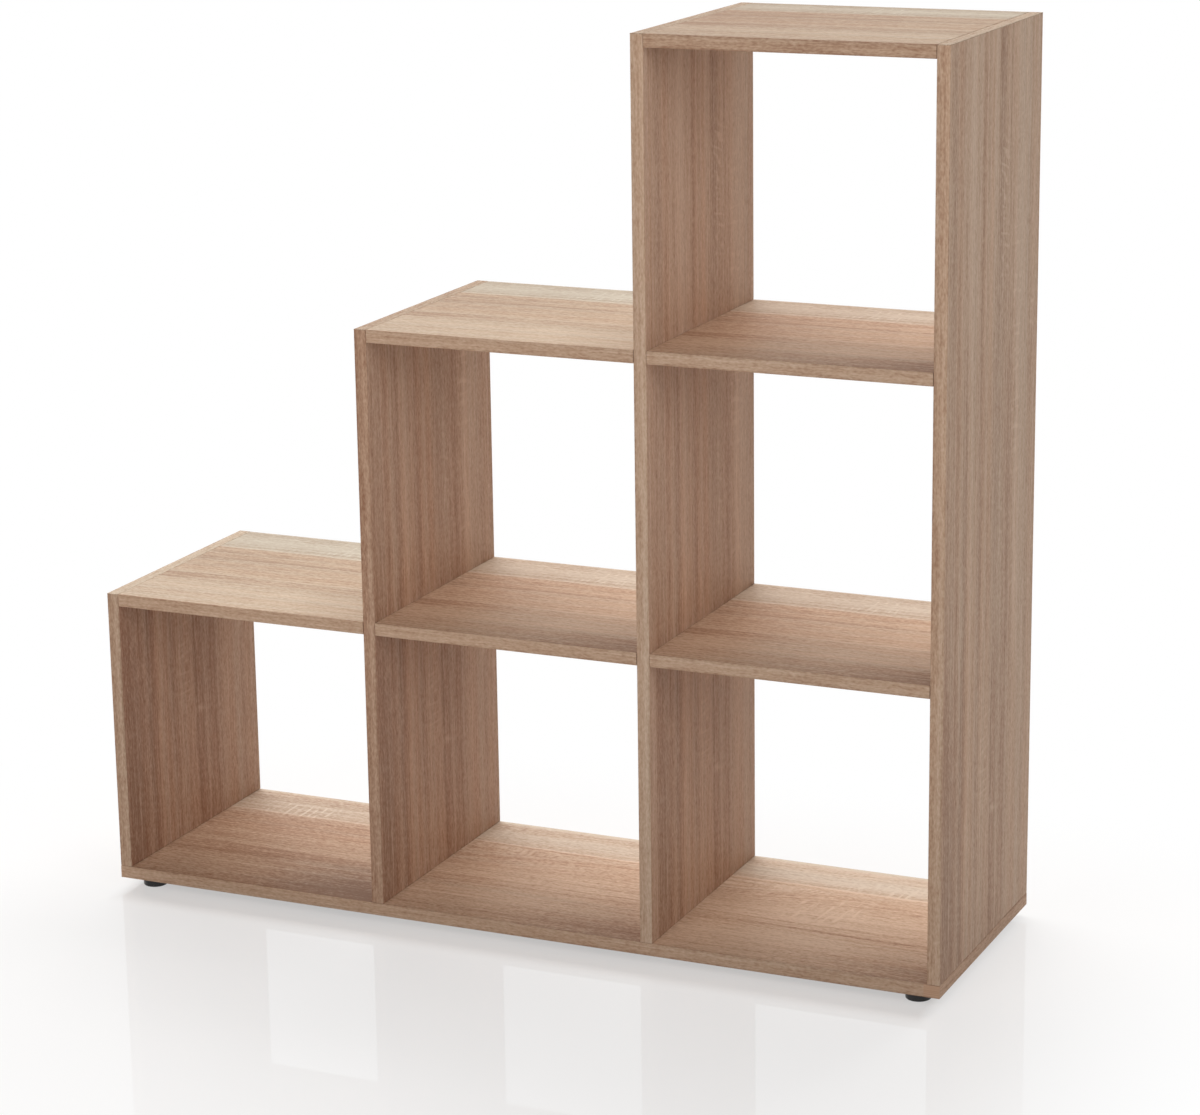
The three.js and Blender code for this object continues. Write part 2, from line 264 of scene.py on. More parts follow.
def printed_oak(
    name, seed, span, pitch, zones, streaks=(), bends=(), flecks=(), warm=(), hues=(),
    mottle=1.0, painted_shade_corners=(),
):
    """A node group for one print. It takes a place on the board in mm, x along the grain and y
    across it, and gives the print's tone, its warmth and the height of its pores. The print is as
    wide as its span and starts again at every pitch across. Along the grain the tones change
    over to those of the next zone (start, end, stops) between its start and end. Hues are stops
    of warmth across the board, and mottle is the strength of the shortest lines. The rest lie
    from u0 to u1 along and from v0 to v1 across: streaks (u0, u1, v0, v1, lean, tone), warm
    streaks (u0, u1, v0, v1, lean, warmth), bends (u0, u1, v0, v1, drop), flecks (u0, u1, v0, v1,
    spacing, slant, tone) and corners of painted shade (u0, u1, v0, v1, tone), which darken and
    cool the floor of a compartment towards its front right corner. Some of the streaks given to
    the base board and the shelves, and the hues of the lying boards, are partly painted light
    and shade too."""
    group = bpy.data.node_groups.new(name, "ShaderNodeTree")
    socket = group.interface.new_socket
    socket(name="Place", in_out="INPUT", socket_type="NodeSocketVector")
    for output in ("Tone", "Warmth", "Height"):
        socket(name=output, in_out="OUTPUT", socket_type="NodeSocketFloat")
    place = node(group, "ShaderNodeSeparateXYZ", {0: node(group, "NodeGroupInput").outputs[0]})
    along = place.outputs["X"]
    across = calc(group, "FLOORED_MODULO", place.outputs["Y"], pitch)
    wander = grain(group, along, across, *WANDER_CELL, 2.0, seed + 20)
    wander = calc(group, "SUBTRACT", wander, 0.5)
    across = calc(group, "ADD", across, calc(group, "MULTIPLY", wander, WANDER * span))
    for bend in bends:
        across = bent(group, along, across, *bend)
    tone = tones(group, across, span, zones[0][2])
    for start, end, stops in zones[1:]:
        ends = {"A": tone, "B": tones(group, across, span, stops)}
        share = {"Factor": rise(group, along, start, end)}
        tone = node(group, "ShaderNodeMix", {**share, **ends}, data_type="FLOAT").outputs["Result"]
    parts = [tone]
    for length, width, detail, strength in GROWTH_LINES:
        if length < SHORT_LINES:
            strength *= mottle
        lines = grain(group, along, across, length, width, detail, seed + width)
        parts.append(calc(group, "MULTIPLY", calc(group, "SUBTRACT", lines, 0.5), strength))
    for *sides, strength in streaks:
        inside = leaning_patch(group, along, across, *sides)
        parts.append(calc(group, "MULTIPLY", inside, strength))
    for field in flecks:
        parts.append(flecked(group, along, across, seed, *field))
    pores = rise(group, grain(group, along, across, *PORE_CELL, 1.0, seed + 7), 0.58, 0.72)
    parts.append(calc(group, "MULTIPLY", pores, PORE_TONE))
    glow = grain(group, along, across, *GLOW_CELL, 1.0, seed + 11)
    glow = calc(group, "SUBTRACT", glow, 0.5)
    warmths = [calc(group, "MULTIPLY", glow, GLOW_STRENGTH)]
    for *sides, strength in warm:
        inside = leaning_patch(group, along, across, *sides)
        warmths.append(calc(group, "MULTIPLY", inside, strength))
    if hues:
        warmths.append(calc(group, "MULTIPLY", tones(group, across, span, hues), 2.0))
    # Painted shade: each corner darkens the tone and cools the warmth.
    for *sides, strength in painted_shade_corners:
        inside = painted_shade_share(group, along, across, *sides)
        parts.append(calc(group, "MULTIPLY", inside, strength))
        warmths.append(calc(group, "MULTIPLY", inside, PAINTED_SHADE_COOLING * strength))
    outputs = {"Tone": total(group, parts), "Warmth": total(group, warmths)}
    outputs["Height"] = calc(group, "SUBTRACT", 1.0, pores)
    node(group, "NodeGroupOutput", outputs)
    return group


# Tone -0.5 is the reddest brown line of the print, 0.5 its palest grey cream.
OAK_SHADES = ((152, 117, 95), (190, 164, 142), (213, 193, 173))
# A shade is multiplied by these where its warmth is -1 and where it is 1.
COLDEST, WARMEST = (0.97, 1.04, 1.06), (1.03, 0.98, 0.92)
PORE_ROUGHNESS, FACE_ROUGHNESS, FACE_SPECULAR = 0.68, 0.55, 0.12
PORE_DEPTH, PORE_BUMP = 0.05 * MM, 0.25


def melamine(name, group, corner, turn=(0, 0, 0), warmth=0.0, tone=0.0, tint=(1, 1, 1)):
    """A board's facing: the print laid from a corner of the board in mm and turned so that its
    grain runs along X, with the colour, gloss and pores that its tone calls for. The whole of it
    may be warmer and lighter than the print by a warmth and a tone, and its colour is multiplied
    by a tint."""
    material = bpy.data.materials.new(name)
    material.use_nodes = True
    tree = material.node_tree
    tree.nodes.clear()
    at = node(tree, "ShaderNodeTexCoord").outputs["Object"]
    sockets = {"Vector": at, "Location": corner, "Rotation": turn, "Scale": (1 / MM,) * 3}
    place = node(tree, "ShaderNodeMapping", sockets).outputs["Vector"]
    oak = node(tree, "ShaderNodeGroup", node_tree=group)
    tree.links.new(place, oak.inputs["Place"])
    lightness = calc(tree, "ADD", oak.outputs["Tone"], 0.5 + tone)
    ramp = node(tree, "ShaderNodeValToRGB", {"Fac": lightness})
    elements = ramp.color_ramp.elements
    elements.new(0.5)
    for element, shade in zip(elements, OAK_SHADES):
        element.color = display(*shade)
    warm = calc(tree, "ADD", oak.outputs["Warmth"], warmth)
    glow = {
        axis: rise(tree, warm, -1, 1, coldest * share, warmest * share)
        for axis, coldest, warmest, share in zip("XYZ", COLDEST, WARMEST, tint)
    }
    colour = {0: ramp.outputs["Color"], 1: node(tree, "ShaderNodeCombineXYZ", glow).outputs[0]}
    bump = {"Height": oak.outputs["Height"], "Strength": PORE_BUMP, "Distance": PORE_DEPTH}
    shader = {
        "Base Color": node(tree, "ShaderNodeVectorMath", colour, operation="MULTIPLY").outputs[0],
        "Roughness": rise(tree, oak.outputs["Height"], 0, 1, PORE_ROUGHNESS, FACE_ROUGHNESS),
        "Normal": node(tree, "ShaderNodeBump", bump).outputs["Normal"],
        "Specular IOR Level": FACE_SPECULAR,
    }
    surface = node(tree, "ShaderNodeBsdfPrincipled", shader).outputs[0]
    node(tree, "ShaderNodeOutputMaterial", {"Surface": surface})
    return material


PRINT_WIDTH = 320  # mm, as wide as the boards are deep
# Distances from the back edge.
BASE_ZONES = (
    (0, 0.3), (10, 0.05), (25, 0.0), (36, 0.08), (50, 0.13), (60, 0.06), (71, -0.06),
    (75.5, 0.3), (80, -0.14), (92, -0.14), (108, -0.12), (125, -0.18), (142, -0.06), (156, 0.0),
    (172, -0.06), (186, 0.0), (198, 0.02), (212, -0.1), (226, -0.06), (238, 0.02), (250, 0.12),
    (268, 0.08), (290, 0.06), (305, 0.02), (320, -0.12),
)
BASE_STREAKS_AND_PAINTED_LIGHT = (
    # Partly the print and partly painted light: the board pales towards its right end, as the right
    # compartments get more light.
    (50, 1950, -400, 720, 0.0, 0.33),  # the whole board pales towards its right end
    (-60, 300, 226, 252, -0.1, -0.18),
    (0, 330, 196, 205, 0.0, -0.1),
    (340, 730, 172, 179, 0.0, -0.09),
    (340, 730, 193, 199, 0.0, -0.12),
    (340, 730, 206, 211, 0.0, -0.12),
    (680, 1080, 188, 195, 0.02, -0.27),
    (680, 1080, 202, 210, 0.03, -0.3),
    (680, 1080, 216, 222, 0.03, -0.22),
    (640, 1090, 176, 232, 0.02, -0.08),
    # Painted light: the floors of the second and third compartments are lighter in their middles.
    (380, 620, 110, 310, 0.0, 0.12),
    (720, 980, 120, 310, 0.0, 0.12),
)
# Painted shade on the base board: darker and cooler towards the front right corner of each
# compartment.
BASE_PAINTED_SHADE_CORNERS = (  # the front right corner of each compartment
    (75, 345, 190, 300, -0.58), (430, 690, 190, 300, -0.45), (805, 1035, 200, 300, -0.38),
)
BASE_BENDS = ((360, 580, 84, 190, 24), (705, 880, 84, 190, 26))
BASE_FLECKS = (
    (50, 165, 33, 84, 11, 0.0, 0.55),
    (840, 965, 33, 80, 12, 0.0, 0.5),
    (795, 910, 98, 190, 13, 0.15, 0.4),
    (350, 405, 12, 78, 12, 0.0, 0.2),
)
BASE_WARMTH = (
    (50, 1950, -400, 720, 0.0, 0.6),
    (-60, 270, 60, 420, 0.0, 0.8),
    (600, 830, 60, 420, 0.0, 0.6),
)
# Partly the print's own hue and partly painted shade: the warmer front stands for the reddened
# shade at the front of the compartment floors, the cooler back for their lit back edge.
LYING_HUES = (  # warmth, cooler at the back
    (0, -0.5), (70, -0.45), (80, 0.12), (150, 0.17), (215, 0.17), (230, 0.07), (320, 0.12),
)
base_print = printed_oak(
    "Base board print", 40.0, PRINT_WIDTH, PRINT_WIDTH, [(0, 0, BASE_ZONES)],
    streaks=BASE_STREAKS_AND_PAINTED_LIGHT, bends=BASE_BENDS, flecks=BASE_FLECKS, warm=BASE_WARMTH, hues=LYING_HUES,
    mottle=1.35, painted_shade_corners=BASE_PAINTED_SHADE_CORNERS,
)
# Painted shade: a slightly redder tint for the base board, the shelves and most bands, which stand
# in less light than the step tops.
BOARD_TINT = (1.01, 0.985, 0.985)
FLIP = (math.pi, 0, 0)  # so that distances across the board run from its back edge
base_low, base_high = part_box("base_board")
base_corner = (-base_low.x / MM, base_high.y / MM, 0)
base_oak = melamine(
    "base_oak", base_print, base_corner, FLIP, warmth=0.15, tone=-0.08, tint=BOARD_TINT
)
ALL_ROUND = (BAND + GLUE_LINE, BAND + GLUE_LINE, 0)
faced_board("base_board", base_oak, ALL_ROUND, ALL_ROUND)

# Uprights: the same board standing on end, with its grain upright and the same print on each
# from the base board up. Each is drawn down onto the base board by two screws, and its top end
# is banded too.

# Distances from the front edge, low down, in the middle and high up.
STANDING_LOW = (
    (0, -0.19), (12, -0.33), (28, -0.25), (46, -0.17), (54, -0.13), (62, -0.2), (73, -0.13),
    (83, 0.06), (93, 0.04), (100, -0.06), (108, 0.07), (124, -0.05), (131, 0.0), (141, 0.08),
    (149, -0.03), (164, 0.01), (173, -0.21), (188, -0.14), (198, -0.06), (213, -0.14), (224, -0.03),
    (237, 0.06), (262, -0.03), (272, 0.1), (292, -0.05), (308, 0.09), (320, 0.0),
)
STANDING_MIDDLE = (
    (0, -0.02), (14, -0.13), (26, -0.11), (44, -0.05), (52, 0.0), (60, -0.05), (68, -0.12),
    (76, 0.0), (85, 0.15), (93, 0.13), (101, 0.05), (108, 0.05), (119, -0.12), (130, 0.0),
    (140, 0.07), (148, -0.03), (160, 0.07), (174, 0.0), (196, -0.07), (204, -0.06),
    (217, -0.15), (229, 0.0), (246, 0.2), (259, 0.09), (275, 0.1), (292, -0.01), (304, 0.09),
    (320, -0.03),
)
STANDING_HIGH = (
    (0, 0.02), (20, -0.09), (29, -0.06), (36, 0.03), (44, -0.05), (52, 0.07), (60, -0.04),
    (68, 0.12), (83, 0.22), (93, 0.15), (108, 0.14), (117, -0.09), (131, 0.14), (140, 0.11),
    (157, 0.22), (164, 0.19), (176, -0.05), (192, 0.0), (212, -0.02), (222, 0.09), (246, 0.25),
    (256, 0.2), (270, 0.09), (285, 0.03), (300, 0.21), (310, 0.07), (320, -0.05),
)
STANDING_STREAKS = (
    (-60, 150, 164, 182, 0.0, -0.1),
    (945, 1090, 158, 190, 0.04, -0.2),
    (470, 570, 113, 121, 0.0, -0.1),
    (590, 840, 112, 120, 0.0, -0.12),
    (-50, 1090, 74, 83, -0.029, -0.08),
    (560, 990, 166, 172, 0.0, -0.1),
    (-60, 420, 57, 64, 0.0, -0.08),
    (-60, 330, 86, 91, 0.0, 0.06),
    (143, 159, 160, 196, 0.0, 0.26),
)
STANDING_FLECKS = (
    (145, 305, 126, 162, 12, 0.0, 0.2),
    (370, 480, 226, 260, 21, 0.0, 0.15),
    (470, 910, 224, 262, 17, 0.0, 0.2),
    (890, 990, 230, 264, 15, 0.0, 0.15),
    (745, 940, 174, 214, 15, 0.5, 0.26),
    (430, 560, 172, 206, 16, 0.3, 0.12),
    (675, 745, 288, 307, 14, 0.0, 0.18),
    (390, 480, 304, 322, 14, 0.0, 0.2),
)
STANDING_WARMTH = ((-100, 640, 54, 116, 0.0, 0.6), (-80, 260, -10, 50, 0.0, -0.4))
STANDING_HEIGHTS = ((0, 0, STANDING_LOW), (280, 400, STANDING_MIDDLE), (620, 760, STANDING_HIGH))
standing_print = printed_oak(
    "Upright print", 80.0, PRINT_WIDTH, PRINT_WIDTH, STANDING_HEIGHTS,
    streaks=STANDING_STREAKS, flecks=STANDING_FLECKS, warm=STANDING_WARMTH,
)
# Painted shade: the first tint makes the right upright, the base board's ends and some bands
# redder, as faces in less light than the tops; the second, redder still, is for the uprights whose
# faces stand in the shade inside the compartments.
RED_TINT, PAINTED_SHADE_TINT = (1.03, 0.965, 0.955), (1.045, 0.955, 0.95)
upright_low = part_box("left_upright")[0]
ON_END = (0, math.pi / 2, 0)  # so that distances along the grain run up the board
upright_corner = (-base_high.z / MM, -upright_low.y / MM, 0)
CUT_LATER = 19  # the inner right upright was cut from the sheet this much further along its print
later_corner = (upright_corner[0], upright_corner[1] - CUT_LATER, 0)
# Where each upright's print is laid from, and its tone and tint.
UPRIGHTS = {
    "left_upright": (upright_corner, -0.08, PAINTED_SHADE_TINT),
    "inner_left_upright": (upright_corner, -0.01, PAINTED_SHADE_TINT),
    "inner_right_upright": (later_corner, 0.07, PAINTED_SHADE_TINT),
    "right_upright": (upright_corner, 0.0, RED_TINT),
}


def standing_board(node_name, material):
    """An upright without the screws that the CAD fuses to it: the faces below its lower end go,
    the holes that they leave are filled, and the rest is cut back for the bands."""
    mesh = merged_copy(node_name)
    shape = bmesh.new()
    shape.from_mesh(mesh)
    end = base_high.z
    below = [f for f in shape.faces if min(v.co.z for v in f.verts) < end - 0.01 * MM]
    bmesh.ops.delete(shape, geom=below, context="FACES")
    rims = [e for e in shape.edges if e.is_boundary]
    bmesh.ops.holes_fill(shape, edges=rims)
    shape.to_mesh(mesh)
    shape.free()
    points = corner_points(mesh)
    low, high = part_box(node_name)
    cut = BAND + GLUE_LINE
    points[:, 1] = np.clip(points[:, 1], low.y + cut, high.y - cut)
    points[:, 2] = np.minimum(points[:, 2], high.z - cut)
    draw_back(points, 2, end, JOINT)
    mesh.vertices.foreach_set("co", points.ravel())
    return show(f"{node_name}_faced", mesh, material, [node_name])


for name, (laid_from, tone, tint) in UPRIGHTS.items():
    facing = melamine(f"{name}_oak", standing_print, laid_from, ON_END, tone=tone, tint=tint)
    standing_board(name, facing)

# Base screws: steel, countersunk, with a hexagon socket, two for each upright. They come up through
# the base board, flush with its underside, and end at its top face; their threads, which bite into
# the upright's end grain, are not drawn.
SCREW_HEAD = 4.97 * MM
SCREW_NECK = 3.45 * MM
SCREW_RIM = 0.3 * MM
SCREW_SINK = 0.5 * MM
SCREW_CONE = 2.5 * MM
SOCKET_CORNER = 2.31 * MM
SOCKET_DEPTH = 2.2 * MM
SCREW_SIDES = 48
ROUND_ANGLE = 35  # degrees: round shapes are smooth across edges up to this


def plain_surface(name, colour, roughness, metallic, spread, grain_size, depth):
    """A plastic or metal finish: its colour varies by a spread and its roughness by a fifth with
    a fine noise, whose grain size is in mm and which also stands up as a texture of a depth in
    mm."""
    material = bpy.data.materials.new(name)
    material.use_nodes = True
    tree = material.node_tree
    tree.nodes.clear()
    at = node(tree, "ShaderNodeTexCoord").outputs["Object"]
    sockets = {"Vector": at, "Scale": 1 / (grain_size * MM), "Detail": 4.0}
    noise = node(tree, "ShaderNodeTexNoise", sockets).outputs["Fac"]
    dark = display(*[c * (1 - spread) for c in colour])
    light = display(*[min(255, c * (1 + spread)) for c in colour])
    mixed = node(tree, "ShaderNodeMix", {"Factor": noise, "A": dark, "B": light}, data_type="RGBA")
    bump = {"Height": noise, "Strength": 0.3, "Distance": depth * MM}
    shader = {
        "Roughness": rise(tree, noise, 0.3, 0.7, roughness * 0.8, roughness * 1.2),
        "Metallic": metallic,
        "Normal": node(tree, "ShaderNodeBump", bump).outputs["Normal"],
    }
    surface = node(tree, "ShaderNodeBsdfPrincipled", shader)
    tree.links.new(mixed.outputs["Result"], surface.inputs["Base Color"])
    node(tree, "ShaderNodeOutputMaterial", {"Surface": surface.outputs[0]})
    return material


def turned(profile, sides, centre, hexagonal=()):
    """A closed shape turned about an upright axis: the profile's radius r and height h go round
    as x = r cos a, y = r sin a, z = h. The first and last points of the profile are on the axis.
    A ring listed as hexagonal has its corners at r: there r cos 30 / cos(a mod 60 - 30) is used."""
    profile = np.array(profile)
    angle = np.linspace(0, 2 * np.pi, sides, endpoint=False)
    rings = profile[1:-1]
    radii = np.repeat(rings[:, :1], sides, 1)
    radii[list(hexagonal)] *= math.cos(np.pi / 6) / np.cos(angle % (np.pi / 3) - np.pi / 6)
    x = radii * np.cos(angle)
    y = radii * np.sin(angle)
    z = np.repeat(rings[:, 1:], sides, 1)
    poles = [[0, 0, profile[0, 1]], [0, 0, profile[-1, 1]]]
    points = np.concatenate([np.stack([x, y, z], 2).reshape(-1, 3), poles]) + np.array(centre)
    i = np.arange(sides)
    j = (i + 1) % sides
    row = np.arange(len(rings) - 1)[:, None] * sides
    walls = np.stack([row + i, row + j, row + j + sides, row + i + sides], 2).reshape(-1, 4)
    last = (len(rings) - 1) * sides
    first_pole, last_pole = len(points) - 2, len(points) - 1
    bottom = np.stack([j, i, np.full(sides, first_pole)], 1)
    top = np.stack([last + i, last + j, np.full(sides, last_pole)], 1)
    mesh = bpy.data.meshes.new("turned")
    mesh.from_pydata(points.tolist(), [], walls.tolist() + bottom.tolist() + top.tolist())
    return mesh


bright_steel = plain_surface("bright_steel", (196, 198, 201), 0.28, 1.0, 0.04, 0.5, 0.01)
face = base_low.z + SCREW_SINK
screw_profile = [
    (0, face + SOCKET_DEPTH), (SOCKET_CORNER, face + SOCKET_DEPTH), (SOCKET_CORNER, face),
    (SCREW_HEAD - SCREW_RIM, face), (SCREW_HEAD, face + SCREW_RIM),
    (SCREW_NECK, face + SCREW_CONE), (SCREW_NECK, base_high.z), (0, base_high.z),
]
for name in UPRIGHTS:
    low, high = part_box(name)
    middle = (low.x + high.x) / 2
    for side in ("front", "back"):
        # The screws stand in line with the cams.
        cam_low, cam_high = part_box(f"low_step_top_cam_left_{side}")
        centre = (middle, (cam_low.y + cam_high.y) / 2, 0)
        screw = turned(screw_profile, SCREW_SIDES, centre, hexagonal=(0, 1))
        show(f"{name}_screw_{side}", screw, bright_steel, smooth=ROUND_ANGLE)

# Shelves and step tops: boards between two uprights, with dowels and cam bores in their ends. One
# board is cut like the next, so the print starts again at each board's left end.

# Distances from the back edge.
LYING_ZONES = (
    (0, 0.26), (10, 0.04), (20, 0.05), (33, 0.17), (48, 0.25), (58, 0.12), (71, 0.0),
    (75.5, 0.3), (80, -0.06), (86, -0.12), (100, -0.12), (125, -0.17), (146, -0.1), (163, -0.03),
    (178, -0.08), (193, 0.08), (203, -0.1), (214, -0.2), (224, -0.1), (236, 0.08), (250, 0.14),
    (268, 0.04), (300, 0.06), (313, 0.03), (320, -0.12),
)
LYING_STREAKS = (
    (0, 733, -400, 720, 0.0, 0.13),  # each board pales towards its right end
    (-60, 130, 224, 240, -0.16, -0.16),
    (-60, 120, 206, 216, -0.08, -0.12),
    (60, 420, 197, 204, 0.0, -0.1),
    (-40, 380, 64, 71, 0.0, -0.06),
)
# Painted light: the shelves add a lighter middle to each compartment floor.
SHELF_STREAKS_AND_PAINTED_LIGHT = (*LYING_STREAKS, (20, 420, 80, 300, 0.0, 0.12))
SHELF_WARMTH = ((-70, 130, 60, 420, 0.0, 0.8),)
# Painted shade on the shelves: darker and cooler towards each shelf's front right corner.
SHELF_PAINTED_SHADE_CORNERS = ((80, 330, 220, 310, -0.4),)
LYING_FLECKS = ((135, 215, 12, 78, 11, 0.0, 0.3), (115, 175, 82, 112, 14, 0.0, 0.15))
lying_print = printed_oak(
    "Lying board print", 0.0, PRINT_WIDTH, PRINT_WIDTH, [(0, 0, LYING_ZONES)],
    streaks=LYING_STREAKS, flecks=LYING_FLECKS, hues=LYING_HUES,
)
shelf_print = printed_oak(
    "Shelf print", 0.0, PRINT_WIDTH, PRINT_WIDTH, [(0, 0, LYING_ZONES)],
    streaks=SHELF_STREAKS_AND_PAINTED_LIGHT, flecks=LYING_FLECKS, warm=SHELF_WARMTH, hues=LYING_HUES,
    mottle=1.15, painted_shade_corners=SHELF_PAINTED_SHADE_CORNERS,
)
# Painted light: a paler, cooler tint for the step tops and the uprights' top ends, which face the
# light from above.
PAINTED_LIGHT_TINT = (0.965, 1.02, 1.045)
TOP_FINISH, SHELF_FINISH = (lying_print, PAINTED_LIGHT_TINT), (shelf_print, BOARD_TINT)
# The boards between each pair of uprights, from the lowest up, with their print, tint and tone.
COLUMNS = (
    {"low_step_top": (*TOP_FINISH, -0.06)},
    {"middle_step_shelf": (*SHELF_FINISH, -0.05), "middle_step_top": (*TOP_FINISH, -0.07)},
    {
        "high_step_lower_shelf": (*SHELF_FINISH, -0.04),
        "high_step_upper_shelf": (*SHELF_FINISH, -0.1),
        "high_step_top": (*TOP_FINISH, -0.23),
    },
)
FRONT_AND_BACK = (0, BAND + GLUE_LINE, 0)
upright_boxes = [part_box(name) for name in UPRIGHTS]
gaps = [(left[1].x, right[0].x) for left, right in zip(upright_boxes, upright_boxes[1:])]
for column, ends in zip(COLUMNS, gaps):
    corner = (-ends[0] / MM, base_high.y / MM, 0)
    for name, (print_group, tint, tone) in column.items():
        board_oak = melamine(f"{name}_oak", print_group, corner, FLIP, tone=tone, tint=tint)
        faced_board(name, board_oak, FRONT_AND_BACK, FRONT_AND_BACK, ends)

# Edge bands: strips of plastic 0.8 mm thick with their outer corners rounded off, printed to match
# the boards and ironed onto every edge that shows.
BAND_ROUND = 0.6 * MM
BAND_STEPS = 5
BAND_INSET = 0.02 * MM
BOARD = base_high.z - base_low.z
PITCH = 345  # mm from one board to the next, side by side and one above the other
BAND_WIDTH = 15  # mm
# Distances from a lying board's upper edge, and from an upright's left edge.
LYING_EDGE_ZONES = (
    (0, -0.02), (2, 0.06), (5, 0.03), (6, -0.05), (7.5, 0.04), (11, 0.05), (13, 0.0), (15, -0.06),
)
STANDING_EDGE_ZONES = (
    (0, -0.1), (3, -0.03), (6, -0.04), (8.5, 0.0), (10, 0.07), (12, 0.04), (13.2, 0.0), (15, -0.06),
)
lying_edge_print = printed_oak(
    "Lying band print", 120.0, BAND_WIDTH, PITCH, [(0, 0, LYING_EDGE_ZONES)]
)
standing_edge_print = printed_oak(
    "Upright band print", 160.0, BAND_WIDTH, PITCH, [(0, 0, STANDING_EDGE_ZONES)]
)


def band(name, start, end, outward, material):
    """A strip from start to end, which lie on the middle of its outer face. Its section, a
    rectangle whose two outer corners are quarter circles, is carried along that straight line."""
    start, end = np.array(start), np.array(end)
    forward = (end - start) / np.linalg.norm(end - start)
    outward = np.array(outward, float)
    sideways = np.cross(forward, outward)
    width = BOARD - 2 * BAND_INSET
    turn = np.linspace(0, np.pi / 2, BAND_STEPS)
    out = np.concatenate([[-BAND], BAND_ROUND * (np.sin(turn) - 1)])
    side = np.concatenate([[width / 2], width / 2 + BAND_ROUND * (np.cos(turn) - 1)])
    section = np.concatenate([np.stack([out, side], 1), np.stack([out, -side], 1)[::-1]])
    ring = section[:, :1] * outward + section[:, 1:] * sideways
    points = np.concatenate([start + ring, end + ring])
    count = len(section)
    i = np.arange(count)
    walls = np.stack([i, (i + 1) % count, (i + 1) % count + count, i + count], 1)
    faces = walls.tolist() + [i[::-1].tolist(), (i + count).tolist()]
    mesh = bpy.data.meshes.new(name)
    mesh.from_pydata(points.tolist(), [], faces)
    return show(name, mesh, material, smooth=ROUND_ANGLE)


FRONT, BACK, LEFT, RIGHT, UP = (0, -1, 0), (0, 1, 0), (-1, 0, 0), (1, 0, 0), (0, 0, 1)
# Turns that lay a band's print along the shelf's width, height or depth.
ALONG_X, ALONG_Z = (math.pi / 2, 0, 0), (math.pi / 2, 0, math.pi / 2)
ALONG_Y_FLAT, ALONG_Y_UPRIGHT = (0, 0, math.pi / 2), (-math.pi / 2, -math.pi / 2, 0)
from_top = (0, base_high.z / MM, 0)
from_left = (0, -base_low.x / MM, 0)
from_bottom = (0, -base_low.z / MM, 0)
BAND_WARMTH = 0.4
HIGH_TONE = -0.15  # the tall step's top has darker bands
END_TONE = -0.1  # and so have the base board's ends
BAND_END = 18 * MM  # the front band of the base board is pieced out at its right end
laid_along = lying_edge_print, from_top, ALONG_X, BAND_WARMTH
lying_edge = melamine("lying_edge_oak", *laid_along, tint=BOARD_TINT)
high_edge = melamine("high_edge_oak", *laid_along, tone=HIGH_TONE, tint=BOARD_TINT)
end_edge = melamine(
    "end_edge_oak", lying_edge_print, from_bottom, ALONG_Y_UPRIGHT, BAND_WARMTH,
    tone=END_TONE, tint=RED_TINT,
)
middle = (base_low.z + base_high.z) / 2
front_left = (base_low.x + BAND, base_low.y, middle)
front_join = (base_high.x - BAND - BAND_END, base_low.y, middle)
front_right = (base_high.x - BAND, base_low.y, middle)
back_left = (base_low.x + BAND, base_high.y, middle)
back_right = (base_high.x - BAND, base_high.y, middle)
band("base_board_front_band", front_left, front_join, FRONT, lying_edge)
band("base_board_front_end_band", front_join, front_right, FRONT, end_edge)
band("base_board_back_band", back_left, back_right, BACK, lying_edge)
for side, x, outward in (("left", base_low.x, LEFT), ("right", base_high.x, RIGHT)):
    ends = (x, base_low.y, middle), (x, base_high.y, middle)
    band(f"base_board_{side}_band", *ends, outward, end_edge)
for column, (left, right) in zip(COLUMNS, gaps):
    left, right = left + JOINT, right - JOINT
    for name in column:
        low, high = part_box(name)
        middle = (low.z + high.z) / 2
        edge = high_edge if name == "high_step_top" else lying_edge
        band(f"{name}_front_band", (left, low.y, middle), (right, low.y, middle), FRONT, edge)
        band(f"{name}_back_band", (left, high.y, middle), (right, high.y, middle), BACK, edge)
# The tone and tint of each upright's front and back bands, and the tone of its top band.
UPRIGHT_BANDS = {
    "left_upright": (-0.07, BOARD_TINT, 0.06),
    "inner_left_upright": (-0.13, RED_TINT, -0.2),
    "inner_right_upright": (0.17, BOARD_TINT, -0.2),
    "right_upright": (0.04, BOARD_TINT, -0.12),
}
for name, (tone, tint, top_tone) in UPRIGHT_BANDS.items():
    low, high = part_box(name)
    middle, foot, top = (low.x + high.x) / 2, base_high.z + JOINT, high.z - BAND
    laid = standing_edge_print, from_left
    edge = melamine(f"{name}_edge_oak", *laid, ALONG_Z, BAND_WARMTH, tone, tint)
    top_edge = melamine(f"{name}_end_oak", *laid, ALONG_Y_FLAT, BAND_WARMTH, top_tone, PAINTED_LIGHT_TINT)
    band(f"{name}_front_band", (middle, low.y, foot), (middle, low.y, top), FRONT, edge)
    band(f"{name}_back_band", (middle, high.y, foot), (middle, high.y, top), BACK, edge)
    band(f"{name}_top_band", (middle, low.y, high.z), (middle, high.y, high.z), UP, top_edge)

